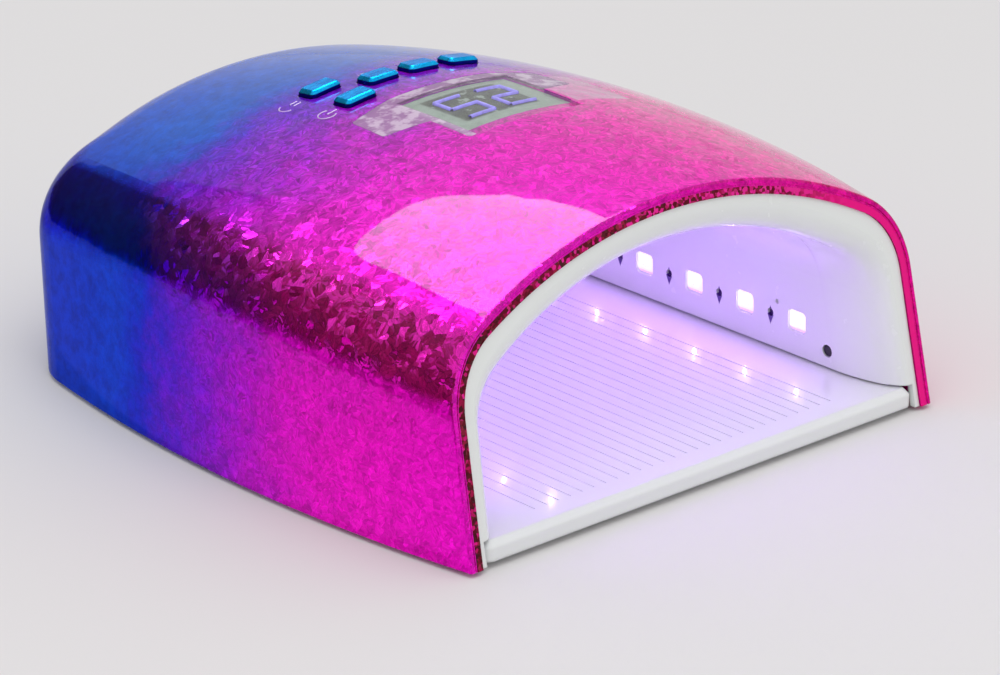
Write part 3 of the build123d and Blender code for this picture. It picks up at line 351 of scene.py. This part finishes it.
def painted_screw_shade(p):
    """Where painted shade lies round the side screws: dark diamonds standing in for the shade of
    small recesses, midway between the lights.
    """
    x, y, z = p.axes()
    first_screw = behind(first_light + light_pitch / 2)
    along = repeated(p, p.minus(y, first_screw), light_pitch)
    upright = p.away(z, table_gap + side_screw_height)
    diamond = p.plus(p.times(p.math("ABSOLUTE", along), 2.4), upright)
    wall = p.map(p.math("ABSOLUTE", x), 0.068, 0.070)
    deep = p.times(p.map(y, behind(0.04), behind(0.041)), p.within(y, behind(0.18), behind(0.181)))
    return p.times(p.within(diamond, 0.0030, 0.0036), p.times(wall, deep))


def white_gloss(name, color, rough, rounding):
    """Glossy white plastic, with faint flow marks, wavy gloss, a softly rounded front and painted
    shade round the side screws.
    """
    p = Paint(name)
    cloud = p.noise(0.03, 3)
    shade = p.mix(cloud, rgb(*(c * 0.97 for c in color)), rgb(*color))
    gloss = p.map(p.noise(0.006, 4), 0.3, 0.7, rough * 0.8, rough * 1.25)
    waves = p.bump(p.noise(0.009, 2), 0.00004, 0.6)
    only_front = p.map(p.axes()[1], behind(0.007), behind(0.009), rounding, 0.0)
    soft = p.soft_edge(only_front, Normal=waves)
    # painted shade: dark violet diamonds round the side screws, in place of the shade of recesses
    shade = p.mix(painted_screw_shade(p), shade, rgb(0.07, 0.03, 0.20))
    return p.finish(
        p.surface(
            Base_Color=shade, Roughness=gloss, Normal=soft, Coat_Weight=0.6, Coat_Roughness=0.05
        )
    )


def led_light(name, first, second, third):
    """A lit light package: near white, with a darker violet strip and a small bright core.

    first and second are the axes across the window, as (number of the axis, place of a core's
    middle, spacing of the cores or 0); third is the axis and the level up to which the strip goes.
    """
    p = Paint(name)
    axes = p.axes()
    squares = []
    for number, middle, spacing in (first, second):
        off = p.minus(axes[number], middle)
        if spacing:
            off = repeated(p, off, spacing)
        squares.append(p.times(off, off))
    core = p.within(p.math("SQRT", p.plus(*squares)), 0.0005, 0.0008)
    number, level = third
    strip = p.within(axes[number], level - 0.0002, level + 0.0002)
    glow = p.mix(strip, rgb(1.0, 0.90, 1.0), rgb(0.55, 0.36, 0.80))
    glow = p.mix(core, glow, rgb(0.60, 0.40, 1.0))
    core_strength = 110
    uneven = p.map(p.noise(0.002, 2), 0.3, 0.7, 0.75, 0.95)
    strength = p.plus(uneven, p.times(core, core_strength))
    return p.finish(
        p.surface(
            Base_Color=rgb(0.6, 0.5, 0.66), Roughness=0.4,
            Emission_Color=glow, Emission_Strength=strength,
        )
    )


def button_metallic():
    """Brushed cyan metal, with painted shade: the sides of the caps are painted dark blue."""
    p = Paint("button_metallic")
    cloud = p.noise(0.004, 3)
    upward = p.axes(p.true_normal())[2]
    upper = p.mix(p.map(cloud, 0.35, 0.65), rgb(0.0, 0.36, 0.80), rgb(0.01, 0.46, 0.92))
    # painted shade: the caps are painted darker on their sides than on their tops, by which way the
    # surface faces
    shade = p.mix(p.map(upward, 0.25, 0.6), rgb(0.004, 0.01, 0.20), upper)
    brushed = p.noise(0.003, 2, place=p.vector("MULTIPLY", p.place, (0.25, 1.0, 1.0)))
    gloss = p.map(brushed, 0.3, 0.7, 0.20, 0.34)
    soft = p.soft_edge(0.0007, Normal=p.bump(brushed, 0.00001))
    return p.finish(
        p.surface(
            Base_Color=shade, Metallic=1.0, Roughness=gloss, Normal=soft,
            Specular_Tint=shade, Coat_Weight=0.6, Coat_Roughness=0.05, Coat_IOR=1.2,
        )
    )


def display_mask():
    """The grey-green display, with dark patchy fields where its figures stand."""
    p = Paint("display_mask")
    x, y = p.axes()[:2]
    cloud = p.noise(0.004, 4, rough=0.7)
    back = p.mix(p.map(cloud, 0.35, 0.65), rgb(0.22, 0.27, 0.24), rgb(0.31, 0.36, 0.34))
    blots = p.cells(0.0022, p.bend(0.004, 0.004))
    dark = p.mix(p.axes(blots["Color"])[0], rgb(0.003, 0.004, 0.003), rgb(0.05, 0.055, 0.045))
    across = p.within(p.away(x, 0.0005), 0.0150, 0.0162)
    along = p.within(p.away(y, behind(0.110)), 0.0112, 0.0124)
    ragged = p.times(across, along, p.map(p.noise(0.0042, 3, rough=0.6), 0.36, 0.42))
    color = p.mix(ragged, back, dark)
    return p.finish(p.surface(Base_Color=color, Roughness=0.5))


def display_lens():
    """Clear over the display; frosted and pinkish white at the wings, with faint blots."""
    p = Paint("display_lens")
    x, y = p.axes()[:2]
    across = p.away(x, 0.0022)
    along = p.minus(y, behind(0.1085))
    outside = p.math("MAXIMUM", p.map(across, 0.0232, 0.0236), p.map(along, 0.0172, 0.0176))
    blots = p.map(p.noise(0.007, 3, rough=0.6), 0.46, 0.56)
    frost = p.mix(blots, rgb(0.46, 0.16, 0.50), rgb(0.60, 0.42, 0.62))
    cover = p.times(outside, p.map(blots, 0.0, 1.0, 0.55, 0.88))
    clear = p.add("ShaderNodeBsdfTransparent")
    clear.inputs[0].default_value = rgb(0.97, 0.98, 0.97)
    shine = p.surface(
        Base_Color=frost, Roughness=0.3, Coat_Weight=1.0, Coat_Roughness=0.03, Coat_IOR=1.33
    )
    glass = p.set(p.add("ShaderNodeBsdfGlossy"), Color=rgb(1, 1, 1), Roughness=0.03).outputs[0]
    facing = p.add("ShaderNodeLayerWeight").outputs["Facing"]
    sheen = p.plus(p.times(p.math("POWER", facing, 5.0), 0.4), 0.008)
    window = p.add("ShaderNodeMixShader")
    p.set(window, _0=sheen, _1=clear.outputs[0], _2=glass)
    both = p.add("ShaderNodeMixShader")
    p.set(both, _0=cover, _1=window.outputs[0], _2=shine)
    return p.finish(both.outputs[0])


def glowing(name, color, strength):
    """A figure's own light, a little uneven."""
    p = Paint(name)
    glow = p.map(p.noise(0.002, 2), 0.3, 0.7, 0.75, 1.1)
    tone = p.mix(1.0, rgb(*color), glow, "MULTIPLY")
    return p.finish(
        p.surface(Base_Color=tone, Roughness=0.4, Emission_Color=tone, Emission_Strength=strength)
    )


def circuit(name, color, line):
    """A circuit board: solder mask with faint tracks under it."""
    p = Paint(name)
    track = p.cells(0.003, feature="DISTANCE_TO_EDGE")[0]
    shade = p.mix(p.map(track, 0.04, 0.09), rgb(*line), rgb(*color))
    return p.finish(p.surface(Base_Color=shade, Roughness=0.35, Coat_Weight=0.5))


def woven(name, color):
    """Plain cloth of crossing threads."""
    p = Paint(name)
    x, y, z = p.axes()
    threads = 9000
    warp = p.math("SINE", p.times(x, threads))
    weft = p.math("SINE", p.times(p.plus(y, z), threads))
    cloth = p.times(warp, weft)
    shade = p.mix(p.map(cloth, -1, 1), rgb(*(c * 0.6 for c in color)), rgb(*color))
    return p.finish(p.surface(Base_Color=shade, Roughness=0.85, Normal=p.bump(cloth, 0.0001)))


# axis numbers: 0 across the lamp, 1 from front to back, 2 upward
strip_drop = 0.0025
roof_spacing = 0.04
finishes = {
    "shell_gloss": shell_gloss(),
    "trim_crackle": trim_crackle(),
    "liner_white": white_gloss("liner_white", (0.82, 0.85, 0.83), 0.22, 0.0008),
    "tray_white": white_gloss("tray_white", (0.83, 0.85, 0.85), 0.12, 0.0016),
    "frame_white": moulded("frame_white", (0.72, 0.73, 0.75), 0.5),
    "rail_plastic": moulded("rail_plastic", (0.66, 0.67, 0.69), 0.4),
    "magnet_nickel": moulded("magnet_nickel", (0.75, 0.73, 0.70), 0.2, metal=1.0),
    "foot_rubber": moulded("foot_rubber", (0.05, 0.05, 0.052), 0.8, grain=0.0008),
    "screw_steel": moulded("screw_steel", (0.55, 0.55, 0.57), 0.3, metal=1.0),
    "screw_dark": moulded("screw_dark", (0.03, 0.006, 0.10), 0.4, vary=0.3),
    "display_lens": display_lens(),
    "display_mask": display_mask(),
    "display_glass": moulded("display_glass", (0.18, 0.22, 0.20), 0.2),
    "black_plastic": moulded("black_plastic", (0.03, 0.03, 0.032), 0.45),
    "circuit_board": circuit("circuit_board", (0.02, 0.16, 0.07), (0.03, 0.24, 0.10)),
    "chip_black": moulded("chip_black", (0.02, 0.02, 0.022), 0.5),
    "component_metal": moulded("component_metal", (0.6, 0.6, 0.62), 0.35, metal=0.9),
    "contact_brass": moulded("contact_brass", (0.75, 0.55, 0.25), 0.25, metal=1.0),
    "cable_grey": moulded("cable_grey", (0.4, 0.41, 0.43), 0.5),
    "lead_red": moulded("lead_red", (0.5, 0.02, 0.02), 0.4),
    "cell_wrap": moulded("cell_wrap", (0.03, 0.14, 0.40), 0.3, coat=0.5),
    "strap_fabric": woven("strap_fabric", (0.06, 0.06, 0.07)),
    "sensor_black": moulded("sensor_black", (0.004, 0.004, 0.007), 0.35, vary=0.4),
    "led_board": circuit("led_board", (0.80, 0.80, 0.84), (0.72, 0.72, 0.78)),
    "led_light": led_light(
        "led_light",
        (1, behind(first_light), light_pitch),
        (2, table_gap + side_light_height, 0),
        (2, table_gap + side_light_height - strip_drop),
    ),
    "spreader_aluminium": moulded("spreader_aluminium", (0.7, 0.7, 0.72), 0.35, metal=1.0),
    "button_metallic": button_metallic(),
    "plunger_plastic": moulded("plunger_plastic", (0.05, 0.05, 0.05), 0.5),
}
roof_light = led_light(
    "led_light_roof",
    (0, 0.0, roof_spacing),
    (1, behind(first_light), light_pitch),
    (1, behind(-0.01)),
)
rear_light = led_light(
    "led_light_rear",
    (0, 0.0, roof_spacing),
    (2, table_gap + rear_light_height, 0),
    (2, table_gap + rear_light_height - strip_drop),
)
for name, node in nodes.items():
    if not node.material_slots:
        node.data.materials.append(None)
    for place in node.material_slots:
        place.material = finishes[slot_of[name]]
for place in nodes["leds_roof"].material_slots:
    place.material = roof_light
for place in nodes["leds_rear"].material_slots:
    place.material = rear_light


# Marks and figures: thin round strokes laid on the surface under them


def surface_under(name):
    """A lookup from above: the height of a CAD node's surface at x and y."""
    mesh = nodes[name].data
    tree = BVHTree.FromPolygons(
        [v.co for v in mesh.vertices], [p.vertices for p in mesh.polygons]
    )

    def look(x, y):
        hit = tree.ray_cast(Vector((x, y, 0.2)), Vector((0, 0, -1)))
        return hit[0].z if hit[0] else None

    return look


shell_at = surface_under("outer_shell")
mask_at = surface_under("display_mask")


def laid(name, strokes, height_at, lift, material, width):
    """Round strokes of a constant width, each a row of points, laid on a curved surface."""
    curve = bpy.data.curves.new(name, "CURVE")
    curve.dimensions = "3D"
    curve.bevel_depth = width / 2
    curve.bevel_resolution = 2
    for points in strokes:
        spline = curve.splines.new("POLY")
        spline.points.add(len(points) - 1)
        for point, (x, y) in zip(spline.points, points):
            point.co = (x, y, height_at(x, y) + lift, 1)
    piece = bpy.data.objects.new(name, curve)
    bpy.context.scene.collection.objects.link(piece)
    curve.materials.append(material)
    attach(piece, "lamp")


def along_line(start, end, step=0.0008):
    """Points from start to end, close enough to follow a curved surface."""
    count = max(2, round(math.dist(start, end) / step) + 1)
    share = [n / (count - 1) for n in range(count)]
    return [
        (start[0] + (end[0] - start[0]) * t, start[1] + (end[1] - start[1]) * t) for t in share
    ]


def arc(centre, radius, first, last, count=14):
    """Points on part of a circle, with angles in degrees from +X."""
    turns = [math.radians(first + (last - first) * n / (count - 1)) for n in range(count)]
    return [(centre[0] + radius * math.cos(t), centre[1] + radius * math.sin(t)) for t in turns]


segments = {"0": "abcdef", "1": "bc", "2": "abged", "3": "abgcd", "5": "afgcd", "6": "afgedc"}


def figure(sign, centre, width, height):
    """The strokes of one figure as a seven-part display shows it."""
    w, h = width / 2, height / 2
    corners = {
        "a": ((-w, h), (w, h)), "b": ((w, h), (w, 0)), "c": ((w, 0), (w, -h)),
        "d": ((w, -h), (-w, -h)), "e": ((-w, -h), (-w, 0)), "f": ((-w, 0), (-w, h)),
        "g": ((-w, 0), (w, 0)),
    }
    strokes = []
    for part in segments[sign]:
        ends = [(centre[0] + x, centre[1] + y) for x, y in corners[part]]
        strokes.append(along_line(*ends))
    return strokes


violet_glow = glowing("figure_violet", (0.24, 0.20, 0.66), 0.55)
mark_pale = moulded("mark_pale", (0.62, 0.42, 0.80), 0.3, coat=1.0)

figure_size = (0.0105, 0.0175)
lit_figures = figure("5", (-0.0070, behind(0.109)), *figure_size)
lit_figures += figure("2", (0.0105, behind(0.109)), *figure_size)
laid("display_figures", lit_figures, mask_at, 0.00005, violet_glow, 0.0016)


def mark(name, strokes, width):
    """A pale mark on the shell."""
    laid(name, strokes, shell_at, 0.00002, mark_pale, width)


def stroke_from(button, left, right, back):
    """A short line beside a button, from left to right of its middle and this far behind it."""
    return along_line((button[0] + left, button[1] + back), (button[0] + right, button[1] + back))


symbol_width, number_width = 0.0005, 0.0003
front_button = (-0.026, behind(0.141))
rear_button = (-0.026, behind(0.159))
power_mark = [
    arc((front_button[0] - 0.0125, front_button[1] - 0.001), 0.0030, 50, 310),
    stroke_from(front_button, -0.0125, -0.0085, -0.001),
]
mark("power_mark", power_mark, symbol_width)
heat_mark = [
    arc((rear_button[0] - 0.0140, rear_button[1] - 0.001), 0.0030, 110, 250),
    stroke_from(rear_button, -0.0125, -0.0095, 0.0),
    stroke_from(rear_button, -0.0125, -0.0095, -0.002),
]
mark("low_heat_mark", heat_mark, symbol_width)
number_size, number_pitch = (0.0015, 0.0026), 0.0026
for text, x in (("10", -0.0087), ("30", 0.0086), ("60", 0.0259)):
    strokes = []
    for place, sign in enumerate(text):
        middle = x - number_pitch / 2 + number_pitch * place
        strokes += figure(sign, (middle, behind(0.1585)), *number_size)
    mark(f"timer_mark_{text}", strokes, number_width)


# Studio


def stage_floor(name, size, level, color):
    """A matt floor without gloss, so that it shows none of the cards."""
    mesh = bpy.data.meshes.new(name)
    half = size / 2
    corners = [(-half, -half, 0), (half, -half, 0), (half, half, 0), (-half, half, 0)]
    mesh.from_pydata(corners, [], [(0, 1, 2, 3)])
    plane = bpy.data.objects.new(name, mesh)
    bpy.context.scene.collection.objects.link(plane)
    plane.location = (0, 0, level)
    p = Paint(name)
    shade = p.mix(p.noise(0.4, 3), rgb(*(c * 0.98 for c in color)), rgb(*color))
    paint = p.finish(p.surface(Base_Color=shade, Roughness=0.8, Specular_IOR_Level=0.0))
    mesh.materials.append(paint)


stage_floor("floor", 12, -0.0004, (0.80, 0.785, 0.79))


def glow_card(name, corners, rounding, paint):
    """A card seen only in reflections: a flat outline with rounded corners."""
    mesh = bpy.data.meshes.new(name)
    count, steps = len(corners), 8
    points = []
    for n, corner in enumerate(corners):
        here = Vector(corner)
        before = (Vector(corners[n - 1]) - here).normalized() * rounding
        after = (Vector(corners[(n + 1) % count]) - here).normalized() * rounding
        for step in range(steps + 1):
            t = step / steps
            points.append(here + before * (1 - t) ** 2 + after * t**2)
    mesh.from_pydata(points, [], [tuple(range(len(points)))])
    card = bpy.data.objects.new(name, mesh)
    bpy.context.scene.collection.objects.link(card)
    mesh.materials.append(paint)
    card.visible_camera = False
    card.visible_diffuse = False
    card.visible_shadow = False
    card.visible_transmission = False


def dark_side():
    """The dim side of the studio: dark low down, paler above, by the slope seen from the lamp."""
    p = Paint("dark_side")
    x, y, z = p.axes()
    from_x = p.plus(x, 0.1)
    distance = p.math("SQRT", p.plus(p.times(from_x, from_x), p.times(y, y)))
    rise = p.math("DIVIDE", p.minus(z, 0.06), distance)
    color = p.ramp(
        p.map(rise, -0.3, 1.3),
        (0.0, (0.08, 0.05, 0.04)),
        (0.19, (0.20, 0.12, 0.10)),
        (0.28, (0.22, 0.13, 0.11)),
        (0.45, (0.27, 0.17, 0.14)),
        (0.61, (0.34, 0.22, 0.19)),
        (0.73, (0.46, 0.38, 0.34)),
        (0.83, (0.80, 0.76, 0.76)),
        (1.0, (0.86, 0.82, 0.84)),
    )
    glow = p.set(p.add("ShaderNodeEmission"), Color=color, Strength=1.0).outputs[0]
    return p.finish(glow)


def plain_glow(name, color, low, high):
    """An evenly lit card with a slight cloudiness."""
    p = Paint(name)
    even = p.map(p.noise(0.3, 2), 0.3, 0.7, low, high)
    glow = p.set(p.add("ShaderNodeEmission"), Color=rgb(*color), Strength=even)
    return p.finish(glow.outputs[0])


def upright(start, end, top):
    """The corners of an upright card that stands on the line from start to end."""
    return [(*start, 0.0), (*end, 0.0), (*end, top), (*start, top)]


def level_corners(height, *corners):
    return [(*corner, height) for corner in corners]


dim_paint = dark_side()
dim_start, dim_turn, dim_end, dim_top = (-0.29, -0.35), (-0.29, 0.85), (0.16, 1.5), 1.9
sharp, round_corner = 0.001, 0.07
glow_card("dim_side_card", upright(dim_start, dim_turn, dim_top), sharp, dim_paint)
glow_card("dim_corner_card", upright(dim_turn, dim_end, dim_top), sharp, dim_paint)
# the panel that makes the pale highlight on the crown
panel = level_corners(
    0.985, (-0.09, 0.02), (0.60, 0.02), (0.56, 0.56), (0.30, 0.72), (-0.07, 0.70)
)
soft_panel = plain_glow("soft_panel", (1.0, 1.0, 1.0), 9.6, 10.6)
glow_card("panel_card", panel, round_corner, soft_panel)
# the bright floor that the left wall reflects
bright = level_corners(0.0006, (-0.113, -0.20), (-1.4, -0.20), (-1.4, 1.6), (-0.113, 1.6))
bright_floor = plain_glow("bright_floor", (1.0, 0.98, 1.0), 0.90, 1.0)
glow_card("floor_card", bright, sharp, bright_floor)


def area_light(name, size, location, target, power, color=(1, 1, 1)):
    """A lamp that lights surfaces and shows in no reflection."""
    light = bpy.data.lights.new(name, "AREA")
    light.shape = "RECTANGLE"
    light.size, light.size_y = size
    light.energy = power
    light.color = color
    lamp = bpy.data.objects.new(name, light)
    bpy.context.scene.collection.objects.link(lamp)
    lamp.location = location
    aim = Vector(target) - Vector(location)
    lamp.rotation_euler = aim.to_track_quat("-Z", "Y").to_euler()
    lamp.visible_glossy = False
    lamp.visible_camera = False


area_light("overhead", (2.0, 2.0), (-0.4, -0.6, 2.2), (0, 0, 0), 14.0)
# the lit lights' glow in the cavity
violet, pale_violet = (0.50, 0.19, 1.0), (0.52, 0.34, 1.0)
for name, side in (("left_leds", -1), ("right_leds", 1)):
    place, target = (side * 0.082, -0.035, 0.035), (-side * 0.08, -0.035, 0.040)
    area_light(name, (0.12, 0.03), place, target, 0.062, violet)
area_light("roof_leds", (0.10, 0.10), (0, -0.030, 0.074), (0, -0.030, 0.0), 0.052, pale_violet)

world = bpy.data.worlds.new("studio")
bpy.context.scene.world = world
world.use_nodes = True
sky = world.node_tree.nodes["Background"]
sky.inputs["Color"].default_value = (0.88, 0.88, 0.88, 1)
sky.inputs["Strength"].default_value = 0.86

# Camera, as the photograph was taken: looking down by camera_drop, turned by camera_turn
camera_drop, camera_turn = 21.65, -41.7
camera_data = bpy.data.cameras.new("camera")
camera_data.sensor_width = 36.0
camera_data.lens = 149.3
camera_data.clip_start = 0.05
camera_data.clip_end = 50.0
camera = bpy.data.objects.new("camera", camera_data)
bpy.context.scene.collection.objects.link(camera)
camera.location = (-0.8383, -0.9647, 0.5213)
camera.rotation_euler = Euler((math.radians(90 - camera_drop), 0, math.radians(camera_turn)))
bpy.context.scene.camera = camera
bpy.context.scene.view_settings.view_transform = "Standard"
